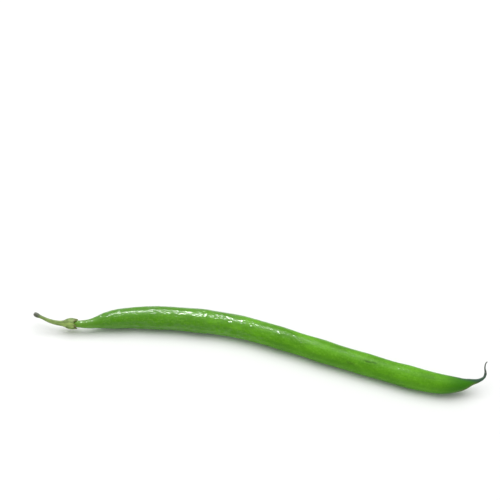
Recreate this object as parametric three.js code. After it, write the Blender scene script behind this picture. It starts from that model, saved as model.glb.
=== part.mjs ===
// A green bean lying on its side: a long slim pod with a thin curled tail, and the short stem it grew on.
// Millimetres. +X runs along the bean from stem to tail, +Z is up, and the bean lies on z = 0.
import * as THREE from 'three';
import { mergeVertices } from 'three/addons/utils/BufferGeometryUtils.js';

// Driving dimensions of the pod
const POD_RADIUS = 4.3; // half the pod's width at its thickest
const HEIGHT_RATIO = 0.95; // the pod is a little lower than it is wide
const SEAM_RISE = 0.12; // the two seams stand this far out of the pod's sides
const SEAM_HALF_ANGLE = 0.16; // radians
const FIRST_SEED = 16.5; // from the neck's end to the first seed
const SEED_SPACING = 14.5;
const SEED_SIZES = [0.4, 0.8, 1, 0.4, 0.7, 1, 0.3, 1]; // one seed each, as a share of the swelling
const SEED_SWELLING = 0.2; // how far a full seed pushes the skin out
const SEED_REACH = 3.8; // from a seed's middle to where its swelling fades
const NECK_ROUNDING = 0.5; // how far from its end the neck rounds off
const TIP_ROUNDING = 0.25;

// Driving dimensions of the stem
const CUP_BORE = 1.42; // radius of the hollow that the pod's neck sits in
const CUP_DEPTH = 2.3;
const RIM_ROUNDING = 0.15;
const CUP_TEETH = 5;
const TOOTH_LENGTH = 0.9;
const NECK_GAP = 0.35; // from the neck's end to the cup's floor
const STALK_LENGTH = 12; // from the cup's floor to the broken end
const BROKEN_END_ROUNDING = 0.4;

const POD_SIDES = 28;
const POD_RINGS = 96;
const STEM_SIDES = 30;
const STEM_RINGS = 26;
const POD_COLOR = 0x4f951f;
const STEM_COLOR = 0x83994f;

// The pod's centreline as x, y, z, from the neck's end to the tip of the tail. It lies almost flat:
// it bows away in the stem's half, comes back, and turns up into the tail.
const POD_LINE = [
  [-1.5, 0, 3.45],
  [5, 1, 3.5],
  [11, 3.9, 3.6],
  [19, 6.5, 3.72],
  [30, 8.4, 3.78],
  [43, 9.4, 3.8],
  [56, 9.2, 3.77],
  [70, 6.8, 3.74],
  [85, 3.5, 3.6],
  [100, 0.4, 3.4],
  [113, -2, 3.26],
  [124, -3.4, 3.34],
  [130.9, -2.7, 3.72],
  [133.6, -1.64, 4],
  [136.27, -0.65, 4.4],
  [137.75, 0.4, 4.95],
  [138.2, 1.82, 5.55],
  [137.93, 3.36, 6.2],
  [138.06, 4.83, 6.7],
  [138.6, 5.69, 7],
];

// Half the pod's width without its seeds, as a share of POD_RADIUS, at distances from the neck's end
const POD_WIDTHS = [
  [0, 0.25],
  [4.5, 0.31],
  [8.5, 0.43],
  [12.3, 0.64],
  [16.5, 0.78],
  [25, 0.91],
  [34, 0.95],
  [44, 0.96],
  [59, 0.925],
  [80, 0.87],
  [100, 0.86],
  [122, 0.82],
  [127, 0.77],
  [131, 0.68],
  [134.5, 0.52],
  [137, 0.355],
  [139, 0.22],
  [141, 0.135],
  [142.5, 0.1],
  [144.2, 0.085],
  [145.2, 0.07],
  [146.5, 0.05],
  [148, 0.04],
  [150, 0.03],
];

// The stem's radius outside, at distances from the cup's rim: the cup, its shoulder, the tapering stalk
// and the thicker end where it broke off
const STEM_WIDTHS = [
  [0, 1.72],
  [0.4, 1.88],
  [1.5, 1.92],
  [2.6, 1.65],
  [3.6, 1.2],
  [4.6, 0.92],
  [6.5, 0.78],
  [9, 0.64],
  [11.6, 0.53],
  [12.7, 0.6],
  [13.6, 0.76],
  [14.5, 0.7],
];

// Where the stalk's centreline leaves the straight line of the pod's neck: the share of the stalk's
// length, and how far aside and up it has bent there
const STALK_BENDS = [
  [0.25, 0, 0.05],
  [0.5, 0.3, 0.6],
  [0.75, 1.1, 1.5],
  [1, 2.3, 2.1],
];

/** A smooth line through points, measured along its length. */
function lineThrough(points) {
  const line = new THREE.CatmullRomCurve3(points);
  line.arcLengthDivisions = 1000;
  return line;
}

/** Distances from 0 to length, closest together near both ends. */
function ringDistances(length, count) {
  return Array.from({ length: count + 1 }, (_, i) => {
    const share = i / count;
    const eased = (1 - Math.cos(Math.PI * share)) / 2;
    return (length * (share + eased)) / 2;
  });
}

/** The height at x of a smooth curve through [x, height] points. */
function smoothAt(points, x) {
  const last = points.length - 1;
  const found = points.findIndex((point) => point[0] > x);
  const next = found < 1 ? last : found;
  const slope = (i) => {
    const before = points[Math.max(i - 1, 0)];
    const after = points[Math.min(i + 1, last)];
    return (after[1] - before[1]) / (after[0] - before[0]);
  };
  const [x0, y0] = points[next - 1];
  const [x1, y1] = points[next];
  const span = x1 - x0;
  const t = THREE.MathUtils.clamp((x - x0) / span, 0, 1);
  const start = slope(next - 1) * span;
  const end = slope(next) * span;
  return (
    y0 + start * t + (3 * (y1 - y0) - 2 * start - end) * t ** 2 + (2 * (y0 - y1) + start + end) * t ** 3
  );
}

/** How much of its radius a body has at a distance from its rounded end. */
function roundedEnd(distance, rounding) {
  const inward = Math.min(distance / rounding, 1);
  return Math.sqrt(1 - (1 - inward) ** 2);
}

/** Bends a body that was lathed about Y, so that its Y becomes the distance along a line. */
function bendAlong(geometry, line, heightRatio = 1) {
  const length = line.getLength();
  const vertices = geometry.attributes.position;
  const vertical = new THREE.Vector3(0, 0, 1);
  const side = new THREE.Vector3();
  const over = new THREE.Vector3();
  for (let i = 0; i < vertices.count; i += 1) {
    const share = THREE.MathUtils.clamp(vertices.getY(i) / length, 0, 1);
    const tangent = line.getTangentAt(share);
    side.crossVectors(tangent, vertical).normalize();
    over.crossVectors(side, tangent);
    const place = line.getPointAt(share);
    place.addScaledVector(tangent, vertices.getY(i) - share * length);
    place.addScaledVector(side, vertices.getX(i));
    place.addScaledVector(over, vertices.getZ(i) * heightRatio);
    vertices.setXYZ(i, place.x, place.y, place.z);
  }
}

/** Joins the vertices that faces share, which makes the geometry one closed body. */
function closeBody(geometry) {
  geometry.deleteAttribute('normal');
  geometry.deleteAttribute('uv');
  const body = mergeVertices(geometry, 1e-3);
  body.computeVertexNormals();
  return body;
}

/** Half the pod's width at a distance from the neck's end, with the swelling over each seed. */
function podRadius(distance, length) {
  const swelling = SEED_SIZES.reduce((sum, size, i) => {
    const away = (distance - FIRST_SEED - i * SEED_SPACING) / SEED_REACH;
    return sum + size * SEED_SWELLING * Math.exp(-(away ** 2));
  }, 0);
  const radius = smoothAt(POD_WIDTHS, distance) * POD_RADIUS + swelling;
  return radius * roundedEnd(distance, NECK_ROUNDING) * roundedEnd(length - distance, TIP_ROUNDING);
}

/** Raises a seam along each side of the lathed pod, strongest where the pod is thick. */
function raiseSeams(geometry) {
  const vertices = geometry.attributes.position;
  for (let i = 0; i < vertices.count; i += 1) {
    const x = vertices.getX(i);
    const z = vertices.getZ(i);
    const radius = Math.hypot(x, z);
    if (radius === 0) continue;
    const angle = Math.asin(Math.abs(z) / radius);
    const rise = (SEAM_RISE * radius * Math.exp(-((angle / SEAM_HALF_ANGLE) ** 2))) / POD_RADIUS;
    vertices.setX(i, x + Math.sign(x) * rise);
  }
}

/** Presses the underside flat where it would reach below the surface that the bean lies on. */
function flattenUnderside(geometry) {
  const vertices = geometry.attributes.position;
  for (let i = 0; i < vertices.count; i += 1) {
    vertices.setZ(i, Math.max(vertices.getZ(i), 0));
  }
}

function podGeometry(line) {
  const length = line.getLength();
  const profile = ringDistances(length, POD_RINGS).map((distance) => {
    return new THREE.Vector2(podRadius(distance, length), distance);
  });
  const geometry = new THREE.LatheGeometry(profile, POD_SIDES);
  raiseSeams(geometry);
  bendAlong(geometry, line, HEIGHT_RATIO);
  flattenUnderside(geometry);
  return closeBody(geometry);
}

/** The stem's centreline, from the cup's mouth on the pod's neck to the broken end of the stalk. */
function stemLine(podLine) {
  const length = podLine.getLength();
  const neckEnd = podLine.getPointAt(0);
  const outward = podLine.getTangentAt(0).negate();
  const aside = new THREE.Vector3(0, 0, 1).cross(outward).negate();
  const up = new THREE.Vector3(0, 0, 1);
  const floor = neckEnd.clone().addScaledVector(outward, NECK_GAP);
  const points = [podLine.getPointAt((CUP_DEPTH - NECK_GAP) / length), floor];
  for (const [share, sideways, upward] of STALK_BENDS) {
    const point = floor.clone().addScaledVector(outward, share * STALK_LENGTH);
    points.push(point.addScaledVector(aside, sideways).addScaledVector(up, upward));
  }
  return lineThrough(points);
}

/** The stem in section: up the cup's bore, over its rim, and down the outside to the broken end. */
function stemProfile(length) {
  const bore = [
    [0, CUP_DEPTH],
    [CUP_BORE - RIM_ROUNDING, CUP_DEPTH],
    [CUP_BORE, CUP_DEPTH - RIM_ROUNDING],
    [CUP_BORE, CUP_DEPTH / 2],
    [CUP_BORE, RIM_ROUNDING],
    [CUP_BORE + RIM_ROUNDING, 0],
  ];
  const outside = Array.from({ length: STEM_RINGS + 1 }, (_, i) => {
    const distance = (length * i) / STEM_RINGS;
    return [smoothAt(STEM_WIDTHS, distance) * roundedEnd(length - distance, BROKEN_END_ROUNDING), distance];
  });
  return [...bore, ...outside].map(([radius, distance]) => new THREE.Vector2(radius, distance));
}

/** Draws the cup's rim out into small teeth that lie along the pod's neck. */
function drawTeeth(geometry) {
  const vertices = geometry.attributes.position;
  for (let i = 0; i < vertices.count; i += 1) {
    const distance = vertices.getY(i);
    const nearRim = Math.max(0, 1 - (2 * distance) / CUP_DEPTH);
    const angle = Math.atan2(vertices.getX(i), vertices.getZ(i));
    const tooth = (1 + Math.cos(CUP_TEETH * angle)) / 2;
    vertices.setY(i, distance - TOOTH_LENGTH * nearRim * tooth ** 2);
  }
}

function stemGeometry(line) {
  const geometry = new THREE.LatheGeometry(stemProfile(line.getLength()), STEM_SIDES);
  drawTeeth(geometry);
  bendAlong(geometry, line);
  return closeBody(geometry);
}

function namedMesh(name, geometry, color, roughness) {
  const material = new THREE.MeshStandardMaterial({ color, roughness, metalness: 0 });
  const mesh = new THREE.Mesh(geometry, material);
  mesh.name = name;
  return mesh;
}

const podLine = lineThrough(POD_LINE.map((point) => new THREE.Vector3(...point)));
const bean = new THREE.Group();
bean.add(namedMesh('pod', podGeometry(podLine), POD_COLOR, 0.3));
bean.add(namedMesh('stem', stemGeometry(stemLine(podLine)), STEM_COLOR, 0.6));

// The origin is on the surface, under the middle of the bean's box
const middle = new THREE.Box3().setFromObject(bean).getCenter(new THREE.Vector3());
bean.position.set(-middle.x, -middle.y, 0);

const root = new THREE.Group();
root.add(bean);

export default root;
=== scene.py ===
import math

import bpy
import numpy as np
from mathutils import Matrix, Vector, noise


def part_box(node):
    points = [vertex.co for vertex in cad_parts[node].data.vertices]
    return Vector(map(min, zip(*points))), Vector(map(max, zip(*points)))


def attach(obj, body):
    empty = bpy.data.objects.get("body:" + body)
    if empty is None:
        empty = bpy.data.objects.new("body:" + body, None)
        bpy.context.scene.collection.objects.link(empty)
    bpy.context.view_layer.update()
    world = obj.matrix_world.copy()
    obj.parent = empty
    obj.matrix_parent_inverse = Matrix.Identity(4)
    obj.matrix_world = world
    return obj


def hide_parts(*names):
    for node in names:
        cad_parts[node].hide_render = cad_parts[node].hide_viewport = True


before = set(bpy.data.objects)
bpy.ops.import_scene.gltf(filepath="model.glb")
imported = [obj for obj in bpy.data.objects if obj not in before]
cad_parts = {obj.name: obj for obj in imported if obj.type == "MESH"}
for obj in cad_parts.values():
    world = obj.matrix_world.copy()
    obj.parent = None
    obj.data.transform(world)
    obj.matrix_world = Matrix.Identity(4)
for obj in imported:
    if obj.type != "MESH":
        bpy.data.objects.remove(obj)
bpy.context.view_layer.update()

# The bean's sizes are in millimetres until its meshes are made, which are in metres
MM = 0.001

# The pod: the same line and widths as its solid
POD_RADIUS = 4.3
HEIGHT_RATIO = 0.95
FIRST_SEED = 16.5
SEED_SPACING = 14.5
SEED_SIZES = [0.4, 0.8, 1, 0.4, 0.7, 1, 0.3, 1]
SEED_SWELLING = 0.2
SEED_REACH = 3.8
NECK_ROUNDING = 0.5
TIP_ROUNDING = 0.25

# The pod's middle line as x, y, z, from the neck's end to the tip of the tail
POD_LINE = [
    (-1.5, 0, 3.45),
    (5, 1, 3.5),
    (11, 3.9, 3.6),
    (19, 6.5, 3.72),
    (30, 8.4, 3.78),
    (43, 9.4, 3.8),
    (56, 9.2, 3.77),
    (70, 6.8, 3.74),
    (85, 3.5, 3.6),
    (100, 0.4, 3.4),
    (113, -2, 3.26),
    (124, -3.4, 3.34),
    (130.9, -2.7, 3.72),
    (133.6, -1.64, 4),
    (136.27, -0.65, 4.4),
    (137.75, 0.4, 4.95),
    (138.2, 1.82, 5.55),
    (137.93, 3.36, 6.2),
    (138.06, 4.83, 6.7),
    (138.6, 5.69, 7),
]

# Half the pod's width without its seeds, as a share of POD_RADIUS, at distances from the neck's end
POD_WIDTHS = [
    (0, 0.25),
    (4.5, 0.31),
    (8.5, 0.43),
    (12.3, 0.64),
    (16.5, 0.78),
    (25, 0.91),
    (34, 0.95),
    (44, 0.96),
    (59, 0.925),
    (80, 0.87),
    (100, 0.86),
    (122, 0.82),
    (127, 0.77),
    (131, 0.68),
    (134.5, 0.52),
    (137, 0.355),
    (139, 0.22),
    (141, 0.135),
    (142.5, 0.1),
    (144.2, 0.085),
    (145.2, 0.07),
    (146.5, 0.05),
    (148, 0.04),
    (150, 0.03),
]

# The pod's skin: a seam on each side, a groove above and below each seam, and a knuckle on the tail
SEAM_RISE = 0.07
SEAM_HALF_ANGLE = 0.12
GROOVE_DEPTH = 0.03
GROOVE_ANGLE = 0.28
GROOVE_HALF_ANGLE = 0.09
KNUCKLE_AT = 144.4
KNUCKLE_RISE = 0.05
KNUCKLE_REACH = 0.6

# The stem: its solid's sizes, but a narrower bore, so that less of the gap round the pod's neck shows
CUP_BORE = 1.3
CUP_DEPTH = 2.3
RIM_ROUNDING = 0.15
CUP_TEETH = 5
TOOTH_LENGTH = 0.9
TOOTH_REACH = CUP_DEPTH / 2
NECK_GAP = 0.35
STALK_LENGTH = 12
BROKEN_END_ROUNDING = 0.4
SMALLEST_RADIUS = 0.05

# The stem's radius outside, at distances from the cup's rim
STEM_WIDTHS = [
    (0, 1.72),
    (0.4, 1.88),
    (1.5, 1.92),
    (2.6, 1.65),
    (3.6, 1.2),
    (4.6, 0.92),
    (6.5, 0.78),
    (9, 0.64),
    (11.6, 0.53),
    (12.7, 0.6),
    (13.6, 0.76),
    (14.5, 0.7),
]

# Where the stalk leaves the straight line of the neck: share of its length, and how far aside and up
STALK_BENDS = [
    (0.25, 0, 0.05),
    (0.5, 0.3, 0.6),
    (0.75, 1.1, 1.5),
    (1, 2.3, 2.1),
]

# The stem's skin: ribs that start beyond the cup and turn slowly, and relief that fades where it is thin
RIB_COUNT = 7
RIB_HEIGHT = 0.035
RIB_TWIST = 0.25
RIB_FADE = 2
FULL_RELIEF_RADIUS = 0.5

# How finely the meshes are divided along and round the bean
POD_RINGS = 720
POD_SIDES = 120
STEM_RINGS = 260
STEM_SIDES = 100

# Soft random relief: its height, the size of a feature along, aside and above, and a seed
LUMPS = (0.1, (7, 4, 4), 3.1)
FIBRES = (0.012, (4, 0.6, 0.6), 17.7)
RIPPLES = (0.02, (1.3, 0.8, 0.8), 41.3)
KNOTS = (0.06, (2.2, 0.8, 0.8), 5.9)
HUSK = (0.02, (0.5, 0.25, 0.25), 23.4)

# Colours, as linear red, green, blue and alpha
DEEP_GREEN = (0.074, 0.255, 0.0040, 1)
FRESH_GREEN = (0.122, 0.385, 0.0080, 1)
PALE_GREEN = (0.220, 0.500, 0.0500, 1)
SEAM_GREEN = (0.040, 0.190, 0.0030, 1)
NECK_GREEN = (0.140, 0.320, 0.0300, 1)
TIP_GREEN = (0.033, 0.170, 0.0030, 1)
TIP_BROWN = (0.130, 0.150, 0.0450, 1)
TAIL_SLATE = (0.033, 0.080, 0.0520, 1)
TAIL_GREY = (0.048, 0.055, 0.0480, 1)
SCUFF_GREEN = (0.035, 0.110, 0.0040, 1)
STALK_OLIVE = (0.130, 0.205, 0.0450, 1)
CUP_PALE = (0.330, 0.480, 0.1100, 1)
DRY_BROWN = (0.150, 0.120, 0.0400, 1)
BROKEN_GREY = (0.090, 0.095, 0.0750, 1)
FLOOR_PALE = (0.86, 0.87, 0.86, 1)
SKY_WHITE = (1, 1, 1, 1)

# Textures: features in each mm along, aside and above, then detail and roughness
POD_MOTTLE = ((0.10, 0.22, 0.22), 3.0, 0.6)
POD_FIBRES = ((0.16, 1.5, 1.5), 2.0, 0.5)
POD_PORES = ((2.0, 2.0, 2.0), 1.0, 0.5)
WATER_BEADS = ((0.85, 1.15, 1.15), 2.0, 0.6)
WATER_RIPPLES = ((0.8, 1.2, 1.2), 1.0, 0.5)
STEM_MOTTLE = ((0.35, 0.9, 0.9), 3.0, 0.6)
STEM_HUSK = ((1.5, 6.0, 6.0), 3.0, 0.6)

# Tints by a texture, from 0 to 1: where one starts, where it is full, its strength and its colour
FRESH_TINT = (0.30, 0.70, 1.0, FRESH_GREEN)
FIBRE_TINT = (0.50, 0.75, 0.12, PALE_GREEN)
PALE_PORE_TINT = (0.56, 0.70, 0.28, PALE_GREEN)
DARK_PORE_TINT = (0.44, 0.32, 0.30, SEAM_GREEN)
CUP_TINT = (0.35, 0.65, 1.0, CUP_PALE)

# Tints by a distance in mm, in the same form: from a seam, and along the straight pod or stem
SEAM_TINT = (2.4, 0.9, 0.3, SEAM_GREEN)
RIDGE_TINT = (0.55, 0.2, 0.12, PALE_GREEN)
NECK_TINT = (14.0, 1.0, 0.9, NECK_GREEN)
TIP_TINT = (126.0, 135.0, 0.9, TIP_GREEN)
BROWN_TINT = (138.4, 141.2, 0.5, TIP_BROWN)
# Slate on the tail: its own colour, and a painted reflection where it comes sooner on the upper rear side
SLATE_AND_REFLECTION_TINT = (137.2, 141.2, 0.95, TAIL_SLATE)
GREY_TINT = (142.0, 145.0, 0.8, TAIL_GREY)
STALK_TINT = (2.5, 6.0, 0.6, STALK_OLIVE)
RIM_TINT = (0.3, -0.6, 0.7, DRY_BROWN)
BREAK_TINT = (11.8, 13.4, 0.9, BROKEN_GREY)

# The tail turns slate sooner on this side, to the rear and above, and brown later: mm along for each mm.
# The slate coming sooner up there is a painted reflection on the tail's upper edge
REAR_SIDE = (0, -0.77, 0.64)
SLATE_REFLECTION_LEAD = 2.2
BROWN_LAG = 3.0

# Small dark scuffs on the straight pod: place, size and strength, and how far out one is full
SCUFFS = [
    ((104.9, 1.5, 3.4), (1.9, 0.5, 0.5), 0.7),
    ((106.8, 1.2, 3.45), (1.3, 0.45, 0.45), 0.6),
    ((99.6, 3.1, 2.0), (2.2, 0.7, 0.7), 0.4),
    ((91.5, 2.6, -2.6), (2.6, 0.5, 0.5), 0.6),
    ((63.0, -3.3, 1.7), (2.0, 0.5, 0.5), 0.6),
    ((34.0, -2.4, -3.0), (3.0, 0.6, 0.6), 0.5),
]
SCUFF_CORE = 0.3

# Smooth changes, from this value to that and what they become: the first two go by mm along the pod
# Painted shade: the green turns darker towards the stem, fully within 20 mm of the neck's end and not at
# all past 60 mm
SHADE_TOWARDS_STEM = (20.0, 60.0, 0.28, 0.0)
DRIER_TO_TAIL = (55.0, 85.0, 0.0, 0.2)
WATER_FILM = (0.42, 0.54, 0.06, 1.0)
POD_ROUGHNESS = (0.3, 0.7, 0.40, 0.50)

# How deep the finest bumps are, in mm
SKIN_BUMP = 0.06
WATER_BUMP = 0.25
HUSK_BUMP = 0.1
HUSK_BUMP_STRENGTH = 0.6

# Settings of each surface that are the same all over it
POD_SURFACE = dict(Specular_IOR_Level=0.12, Coat_Roughness=0.09, Coat_IOR=1.4)
STEM_SURFACE = dict(Roughness=0.6, Specular_IOR_Level=0.4)
FLOOR_SURFACE = dict(Base_Color=FLOOR_PALE, Roughness=0.7, Specular_IOR_Level=0.2)

# The mesh attribute with each point's place on the straight bean, which the textures follow
UNBENT = "unbent"

# A mix node has sockets for each kind of value, and these are its colours'
MIX_FIRST_COLOR = 6
MIX_SECOND_COLOR = 7
MIX_COLOR_RESULT = 2

# The camera stands where the photographer did: degrees, metres, and the lens in mm
CAMERA_AZIMUTH = 10.9
CAMERA_ELEVATION = 40
CAMERA_DISTANCE = 0.334
CAMERA_TARGET = (-0.0110, 0.0508, 0)
CAMERA_LENS = 62.6
CAMERA_NEAREST = 0.01

# The lights: degrees round and above the bean, metres away and across, and watts
CEILING_LIGHT = dict(azimuth=190, elevation=78, distance=1.2, width=1.8, depth=1.4, power=15.0)
WINDOW_LIGHT = dict(azimuth=216, elevation=62, distance=1.4, width=0.6, depth=0.35, power=26.0)
WORLD_STRENGTH = 0.55
FLOOR_SIZE = 6


def unit(vectors):
    return vectors / np.linalg.norm(vectors, axis=-1, keepdims=True)


def smooth_line(points, steps=60):
    """Places along a smooth curve through points, with that many steps from each point to the next."""
    points = [np.array(point, float) for point in points]
    points = [2 * points[0] - points[1]] + points + [2 * points[-1] - points[-2]]
    places = []
    share = np.linspace(0, 1, steps, endpoint=False)[:, None]
    for before, start, end, after in zip(points, points[1:], points[2:], points[3:]):
        pairs = ((before, start), (start, end), (end, after))
        gaps = [math.sqrt(np.linalg.norm(b - a)) for a, b in pairs]
        leave = (start - before) / gaps[0] - (end - before) / (gaps[0] + gaps[1]) + (end - start) / gaps[1]
        arrive = (end - start) / gaps[1] - (after - start) / (gaps[1] + gaps[2]) + (after - end) / gaps[2]
        leave = leave * gaps[1]
        arrive = arrive * gaps[1]
        square = 3 * (end - start) - 2 * leave - arrive
        cube = 2 * (start - end) + leave + arrive
        places.append(start + leave * share + square * share**2 + cube * share**3)
    return np.vstack(places + [points[-2][None]])


class Line:
    """A smooth line through points, measured along its length."""

    def __init__(self, points):
        self.places = smooth_line(points)
        steps = np.linalg.norm(np.diff(self.places, axis=0), axis=1)
        self.distances = np.concatenate([[0], np.cumsum(steps)])
        self.length = self.distances[-1]
        self.tangents = unit(np.gradient(self.places, self.distances, axis=0))

    def _at(self, values, distance):
        columns = [np.interp(distance, self.distances, values[:, axis]) for axis in range(3)]
        return np.stack(columns, axis=-1)

    def place(self, distance):
        return self._at(self.places, distance)

    def tangent(self, distance):
        return unit(self._at(self.tangents, distance))


def smooth_through(points, x):
    """Heights at x of a smooth curve through (x, height) points."""
    at, height = np.array(points, float).T
    slope = np.empty_like(at)
    slope[1:-1] = (height[2:] - height[:-2]) / (at[2:] - at[:-2])
    slope[0] = (height[1] - height[0]) / (at[1] - at[0])
    slope[-1] = (height[-1] - height[-2]) / (at[-1] - at[-2])
    after = np.clip(np.searchsorted(at, x, side="right"), 1, len(at) - 1)
    span = at[after] - at[after - 1]
    share = np.clip((x - at[after - 1]) / span, 0, 1)
    rise = height[after] - height[after - 1]
    start = slope[after - 1] * span
    end = slope[after] * span
    square = 3 * rise - 2 * start - end
    cube = start + end - 2 * rise
    return height[after - 1] + start * share + square * share**2 + cube * share**3


def bell(offset, reach):
    """1 at no offset, falling smoothly to nearly 0 at twice the reach."""
    return np.exp(-((offset / reach) ** 2))


def rounded_end(distance, rounding):
    """From 0 at the end to 1 at the rounding's distance, like a quarter of a circle."""
    inward = np.minimum(distance / rounding, 1)
    return np.sqrt(np.maximum(1 - (1 - inward) ** 2, 0))


def noise_field(places, size, seed):
    """Smooth random heights from -1 to 1 at places, with features of about that size."""
    flat = (places / np.array(size)).reshape(-1, 3) + seed
    values = np.fromiter((noise.noise(Vector(place)) for place in flat), float, len(flat))
    return values.reshape(places.shape[:-1])


def add_layers(relief, places, layers):
    for height, size, seed in layers:
        relief = relief + height * noise_field(places, size, seed)
    return relief


def straight_places(distance, radius, angle):
    """Places on the straight bean: along it, aside to its front, and above."""
    return np.stack([distance, radius * np.sin(angle), radius * np.cos(angle)], axis=-1)


def bend_along(line, straight, height_ratio=1.0):
    """The straight bean's places once its axis follows the line."""
    distance, aside, above = straight[..., 0], straight[..., 1], straight[..., 2]
    reach = np.clip(distance, 0, line.length)
    tangent = line.tangent(reach)
    side = unit(np.cross(tangent, (0, 0, 1)))
    over = np.cross(side, tangent)
    along = (distance - reach)[..., None] * tangent
    return line.place(reach) + along + aside[..., None] * side + above[..., None] * over * height_ratio


def with_ends(rings):
    """All the rings' points, then the middles of the first ring and of the last."""
    ends = np.stack([rings[0].mean(axis=0), rings[-1].mean(axis=0)])
    return np.concatenate([rings.reshape(-1, 3), ends])


def ring_faces(count, sides):
    """Faces from each ring to the next, and from the outer rings to the two points that close them."""
    first_end, last_end = count * sides, count * sides + 1
    last_ring = (count - 1) * sides
    faces = []
    for ring in range(count - 1):
        here, there = ring * sides, (ring + 1) * sides
        for side in range(sides):
            beside = (side + 1) % sides
            faces.append((here + side, here + beside, there + beside, there + side))
    for side in range(sides):
        beside = (side + 1) % sides
        faces.append((first_end, beside, side))
        faces.append((last_end, last_ring + side, last_ring + beside))
    return faces


def ring_body(name, rings, straight, origin):
    """A closed mesh of rings of points that also keeps their places on the straight bean."""
    mesh = bpy.data.meshes.new(name)
    places = (with_ends(rings) + origin) * MM
    mesh.from_pydata(places.tolist(), [], ring_faces(*rings.shape[:2]))
    attribute = mesh.attributes.new(UNBENT, "FLOAT_VECTOR", "POINT")
    attribute.data.foreach_set("vector", with_ends(straight).astype(np.float32).ravel())
    mesh.shade_smooth()
    body = bpy.data.objects.new(name, mesh)
    bpy.context.scene.collection.objects.link(body)
    return body


def pod_radius(distance, length):
    """Half the pod's width, with the swelling over each seed and the knuckle on the tail."""
    radius = smooth_through(POD_WIDTHS, distance) * POD_RADIUS
    for number, size in enumerate(SEED_SIZES):
        away = distance - FIRST_SEED - number * SEED_SPACING
        radius = radius + size * SEED_SWELLING * bell(away, SEED_REACH)
    radius = radius + KNUCKLE_RISE * bell(distance - KNUCKLE_AT, KNUCKLE_REACH)
    return radius * rounded_end(distance, NECK_ROUNDING) * rounded_end(length - distance, TIP_ROUNDING)


def pod_relief(angle, radius, straight):
    """How far the skin stands out: seams, grooves, slow lumps, long fibres and small ripples."""
    from_seam = np.abs(np.arcsin(np.clip(np.cos(angle), -1, 1)))
    seam = SEAM_RISE * bell(from_seam, SEAM_HALF_ANGLE)
    groove = GROOVE_DEPTH * bell(from_seam - GROOVE_ANGLE, GROOVE_HALF_ANGLE)
    fullness = np.clip(radius / POD_RADIUS, 0, 1)
    return add_layers(seam - groove, straight, (LUMPS, FIBRES, RIPPLES)) * fullness


def ring_distances(length, count):
    """Distances from 0 to length, closest together near both ends."""
    share = np.linspace(0, 1, count)
    return length * (share + (1 - np.cos(np.pi * share)) / 2) / 2


def make_pod(line):
    """The pod's rings of points, pressed flat where it lies on the floor, and their straight places."""
    distance = ring_distances(line.length, POD_RINGS)[1:-1, None]
    angle = np.linspace(0, 2 * np.pi, POD_SIDES, endpoint=False)[None, :]
    distance, angle = np.broadcast_arrays(distance, angle)
    radius = pod_radius(distance, line.length)
    straight = straight_places(distance, radius, angle)
    radius = radius + pod_relief(angle, radius, straight)
    rings = bend_along(line, straight_places(distance, radius, angle), HEIGHT_RATIO)
    rings[..., 2] = np.maximum(rings[..., 2], 0)
    return rings, straight


def middle_of(rings):
    places = rings.reshape(-1, 3)
    return (places.min(axis=0) + places.max(axis=0)) / 2


def frame_origin(rings):
    """Where the line's own zero is on the frame's floor, from the box of the pod's solid."""
    low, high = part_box("pod")
    shift = np.array((low + high) / 2) / MM - middle_of(rings)
    shift[2] = 0
    return shift


def stem_line(pod_line):
    """From the cup's mouth on the pod's neck to the broken end of the stalk."""
    neck_end = pod_line.place(0.0)
    outward = -pod_line.tangent(0.0)
    aside = -np.cross((0, 0, 1), outward)
    cup_floor = neck_end + outward * NECK_GAP
    points = [pod_line.place(CUP_DEPTH - NECK_GAP), cup_floor]
    for share, sideways, upward in STALK_BENDS:
        straight_on = cup_floor + outward * share * STALK_LENGTH
        points.append(straight_on + aside * sideways + np.array((0, 0, upward)))
    return Line(points)


def stem_outline(length):
    """The stem in section: out of the cup's bore, over its rim, and along the outside to the broken end."""
    bore = np.array([
        (SMALLEST_RADIUS, CUP_DEPTH),
        (CUP_BORE - RIM_ROUNDING, CUP_DEPTH),
        (CUP_BORE, CUP_DEPTH - RIM_ROUNDING),
        (CUP_BORE, CUP_DEPTH / 2),
        (CUP_BORE, RIM_ROUNDING),
        (CUP_BORE + RIM_ROUNDING, 0),
    ])
    distance = np.linspace(0, length, STEM_RINGS)
    radius = smooth_through(STEM_WIDTHS, distance) * rounded_end(length - distance, BROKEN_END_ROUNDING)
    radius = np.maximum(radius, SMALLEST_RADIUS)
    return np.concatenate([bore[:, 0], radius]), np.concatenate([bore[:, 1], distance])


def stem_relief(distance, angle, straight):
    """How far the skin stands out: ribs along the stalk, knots and husk."""
    on_stalk = np.clip((distance - CUP_DEPTH) / RIB_FADE, 0, 1)
    ribs = RIB_HEIGHT * on_stalk * np.cos(RIB_COUNT * angle + RIB_TWIST * distance)
    return add_layers(ribs, straight, (KNOTS, HUSK))


def make_stem(line):
    """The stem's rings of points, with the cup's teeth drawn out of its rim, and their straight places."""
    radius, distance = stem_outline(line.length)
    angle = np.linspace(0, 2 * np.pi, STEM_SIDES, endpoint=False)
    radius, angle = np.meshgrid(radius, angle, indexing="ij")
    distance = np.broadcast_to(distance[:, None], radius.shape)
    tooth = ((1 + np.cos(CUP_TEETH * angle)) / 2) ** 2
    near_rim = np.clip(1 - distance / TOOTH_REACH, 0, 1)
    distance = distance - TOOTH_LENGTH * near_rim * tooth
    straight = straight_places(distance, radius, angle)
    relief = stem_relief(distance, angle, straight)
    radius = radius + relief * np.clip(radius / FULL_RELIEF_RADIUS, 0, 1)
    return bend_along(line, straight_places(distance, radius, angle)), straight


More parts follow.
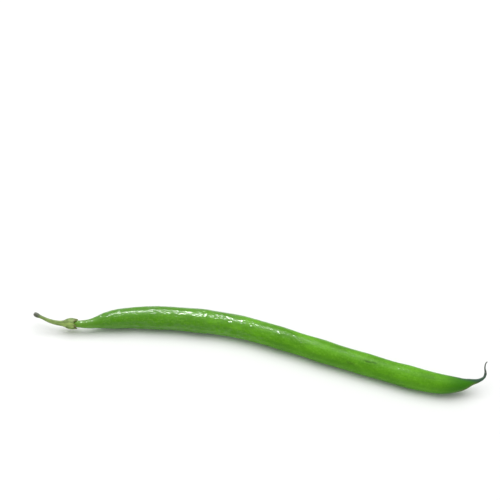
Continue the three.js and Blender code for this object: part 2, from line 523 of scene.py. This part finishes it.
class Shader:
    """A material, with short ways to add nodes that give back the new node's result."""

    def __init__(self, name):
        self.material = bpy.data.materials.new(name)
        self.material.use_nodes = True
        self.tree = self.material.node_tree
        self.surface = self.tree.nodes["Principled BSDF"]

    def plug(self, socket, value):
        if isinstance(value, bpy.types.NodeSocket):
            self.tree.links.new(value, socket)
        else:
            socket.default_value = value

    def node(self, kind, *inputs, **settings):
        """The new node itself, with its first inputs filled in order."""
        made = self.tree.nodes.new(kind)
        for key, value in settings.items():
            setattr(made, key, value)
        for socket, value in zip(made.inputs, inputs):
            self.plug(socket, value)
        return made

    def set(self, **values):
        """Sets the surface's own sockets, by name with _ for a space."""
        for key, value in values.items():
            self.plug(self.surface.inputs[key.replace("_", " ")], value)

    def unbent(self):
        """The place on the straight bean in mm: along it, aside to its front, and above."""
        return self.node("ShaderNodeAttribute", attribute_name=UNBENT).outputs["Vector"]

    def part(self, vector, axis):
        return self.node("ShaderNodeSeparateXYZ", vector).outputs[axis]

    def math(self, operation, *inputs):
        return self.node("ShaderNodeMath", *inputs, operation=operation).outputs[0]

    def dot(self, vector, direction):
        made = self.node("ShaderNodeVectorMath", vector, direction, operation="DOT_PRODUCT")
        return made.outputs["Value"]

    def stretch(self, vector, factors):
        return self.node("ShaderNodeVectorMath", vector, factors, operation="MULTIPLY").outputs[0]

    def texture(self, place, per_mm, detail, roughness):
        """Soft random values from 0 to 1."""
        made = self.node("ShaderNodeTexNoise")
        self.plug(made.inputs["Vector"], self.stretch(place, per_mm))
        self.plug(made.inputs["Scale"], 1.0)
        self.plug(made.inputs["Detail"], detail)
        self.plug(made.inputs["Roughness"], roughness)
        return made.outputs[0]

    def between(self, value, low, high, to_low, to_high):
        """Maps low to to_low and high to to_high, smoothly, and holds outside."""
        inputs = (value, low, high, to_low, to_high)
        return self.node("ShaderNodeMapRange", *inputs, interpolation_type="SMOOTHSTEP").outputs[0]

    def mix(self, share, first, second):
        made = self.node("ShaderNodeMix", data_type="RGBA")
        self.plug(made.inputs["Factor"], share)
        self.plug(made.inputs[MIX_FIRST_COLOR], first)
        self.plug(made.inputs[MIX_SECOND_COLOR], second)
        return made.outputs[MIX_COLOR_RESULT]

    def tint(self, color, value, start, full, strength, other):
        """The colour, turned towards the other one as the value goes from start to full."""
        return self.mix(self.between(value, start, full, 0.0, strength), color, other)

    def spot(self, color, place, centre, size, strength, other):
        """The colour, with a soft-edged spot of the other one round the centre."""
        away = self.node("ShaderNodeVectorMath", place, centre, operation="SUBTRACT").outputs[0]
        scaled = self.stretch(away, [1 / length for length in size])
        distance = self.node("ShaderNodeVectorMath", scaled, operation="LENGTH").outputs["Value"]
        return self.tint(color, distance, 1.0, SCUFF_CORE, strength, other)

    def bump(self, height, depth, strength=1.0):
        made = self.node("ShaderNodeBump")
        self.plug(made.inputs["Strength"], strength)
        self.plug(made.inputs["Distance"], depth * MM)
        self.plug(made.inputs["Height"], height)
        return made.outputs[0]


def pod_greens(shader, place, along, mottle):
    """Mottled green, with painted shade that makes it darker towards the stem, pale fibres, fine pores and
    dark strips at the seams.
    """
    # Painted shade: a darker green towards the stem
    painted_shade = shader.between(along, *SHADE_TOWARDS_STEM)
    color = shader.tint(DEEP_GREEN, shader.math("SUBTRACT", mottle, painted_shade), *FRESH_TINT)
    color = shader.tint(color, shader.texture(place, *POD_FIBRES), *FIBRE_TINT)
    pores = shader.texture(place, *POD_PORES)
    color = shader.tint(color, pores, *PALE_PORE_TINT)
    color = shader.tint(color, pores, *DARK_PORE_TINT)
    from_seam = shader.math("ABSOLUTE", shader.part(place, "Z"))
    color = shader.tint(color, from_seam, *SEAM_TINT)
    color = shader.tint(color, from_seam, *RIDGE_TINT)
    return shader.tint(color, along, *NECK_TINT)


def tail_colors(shader, place, along, color):
    """Dark green, then brown in front and below and slate behind and above, and grey to the tip. The slate
    is the tail's own colour, and where it comes sooner on the upper rear side it is a painted reflection.
    """
    color = shader.tint(color, along, *TIP_TINT)
    rear = shader.dot(place, REAR_SIDE)
    browning = shader.math("SUBTRACT", along, shader.math("MULTIPLY", rear, BROWN_LAG))
    color = shader.tint(color, browning, *BROWN_TINT)
    # Slate is the tail's own colour; where it comes sooner on the upper rear side it is a painted
    # reflection
    slate_and_reflection = shader.math("ADD", along, shader.math("MULTIPLY", rear, SLATE_REFLECTION_LEAD))
    color = shader.tint(color, slate_and_reflection, *SLATE_AND_REFLECTION_TINT)
    return shader.tint(color, along, *GREY_TINT)


def add_water(shader, place, along):
    """A rippled film of water over the skin, broken into beads and thinner towards the tail."""
    beads = shader.texture(place, *WATER_BEADS)
    dryness = shader.between(along, *DRIER_TO_TAIL)
    film = shader.between(shader.math("SUBTRACT", beads, dryness), *WATER_FILM)
    ripples = shader.texture(place, *WATER_RIPPLES)
    shader.set(Coat_Weight=film)
    shader.set(Normal=shader.bump(ripples, SKIN_BUMP), Coat_Normal=shader.bump(ripples, WATER_BUMP))


def pod_material():
    shader = Shader("pod_skin")
    place = shader.unbent()
    along = shader.part(place, "X")
    mottle = shader.texture(place, *POD_MOTTLE)
    color = pod_greens(shader, place, along, mottle)
    color = tail_colors(shader, place, along, color)
    for centre, size, strength in SCUFFS:
        color = shader.spot(color, place, centre, size, strength, SCUFF_GREEN)
    shader.set(Base_Color=color, Roughness=shader.between(mottle, *POD_ROUGHNESS), **POD_SURFACE)
    add_water(shader, place, along)
    return shader.material


def stem_material():
    shader = Shader("stem_skin")
    place = shader.unbent()
    along = shader.part(place, "X")
    color = shader.tint(STALK_OLIVE, shader.texture(place, *STEM_MOTTLE), *CUP_TINT)
    color = shader.tint(color, along, *STALK_TINT)
    color = shader.tint(color, along, *RIM_TINT)
    color = shader.tint(color, along, *BREAK_TINT)
    husk = shader.texture(place, *STEM_HUSK)
    shader.set(Base_Color=color, Normal=shader.bump(husk, HUSK_BUMP, HUSK_BUMP_STRENGTH), **STEM_SURFACE)
    return shader.material


def floor_material():
    shader = Shader("floor")
    shader.set(**FLOOR_SURFACE)
    return shader.material


def direction(azimuth, elevation):
    """The direction from the bean towards something at that azimuth and elevation, in degrees."""
    around, above = math.radians(azimuth), math.radians(elevation)
    level = math.cos(above)
    return Vector((math.sin(around) * level, -math.cos(around) * level, math.sin(above)))


def look_along(thing, place, target):
    """Puts a camera or a light at the place, turned towards the target."""
    turn = (target - place).to_track_quat("-Z", "Y").to_matrix().to_4x4()
    thing.matrix_world = Matrix.Translation(place) @ turn


def make_camera():
    camera = bpy.data.objects.new("camera", bpy.data.cameras.new("camera"))
    bpy.context.scene.collection.objects.link(camera)
    camera.data.lens = CAMERA_LENS
    camera.data.clip_start = CAMERA_NEAREST
    target = Vector(CAMERA_TARGET)
    look_along(camera, target + direction(CAMERA_AZIMUTH, CAMERA_ELEVATION) * CAMERA_DISTANCE, target)
    bpy.context.scene.camera = camera


def make_floor():
    bpy.ops.mesh.primitive_plane_add(size=FLOOR_SIZE)
    floor = bpy.context.object
    floor.name = "floor"
    floor.data.materials.append(floor_material())


def make_world():
    world = bpy.data.worlds.new("studio")
    world.use_nodes = True
    background = world.node_tree.nodes["Background"]
    background.inputs["Color"].default_value = SKY_WHITE
    background.inputs["Strength"].default_value = WORLD_STRENGTH
    bpy.context.scene.world = world


def area_light(name, azimuth, elevation, distance, width, depth, power):
    lamp = bpy.data.lights.new(name, "AREA")
    lamp.shape = "RECTANGLE"
    lamp.size = width
    lamp.size_y = depth
    lamp.energy = power
    light = bpy.data.objects.new(name, lamp)
    bpy.context.scene.collection.objects.link(light)
    look_along(light, direction(azimuth, elevation) * distance, Vector((0, 0, 0)))
    return light


def make_lights():
    """The ceiling gives no reflections, and the window gives nothing else."""
    area_light("ceiling", **CEILING_LIGHT).visible_glossy = False
    area_light("window", **WINDOW_LIGHT).visible_diffuse = False


def main():
    make_camera()
    pod_line = Line(POD_LINE)
    pod_rings, pod_straight = make_pod(pod_line)
    origin = frame_origin(pod_rings)
    pod = ring_body("pod_body", pod_rings, pod_straight, origin)
    stem_rings, stem_straight = make_stem(stem_line(pod_line))
    stem = ring_body("stem_body", stem_rings, stem_straight, origin)
    for piece, node, slot, material in (
        (pod, "pod", "pod_skin", pod_material()),
        (stem, "stem", "stem_skin", stem_material()),
    ):
        piece.data.materials.append(material)
        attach(piece, "root")
        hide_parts(node)
    make_floor()
    make_world()
    make_lights()
    bpy.context.scene.view_settings.view_transform = "Standard"


main()
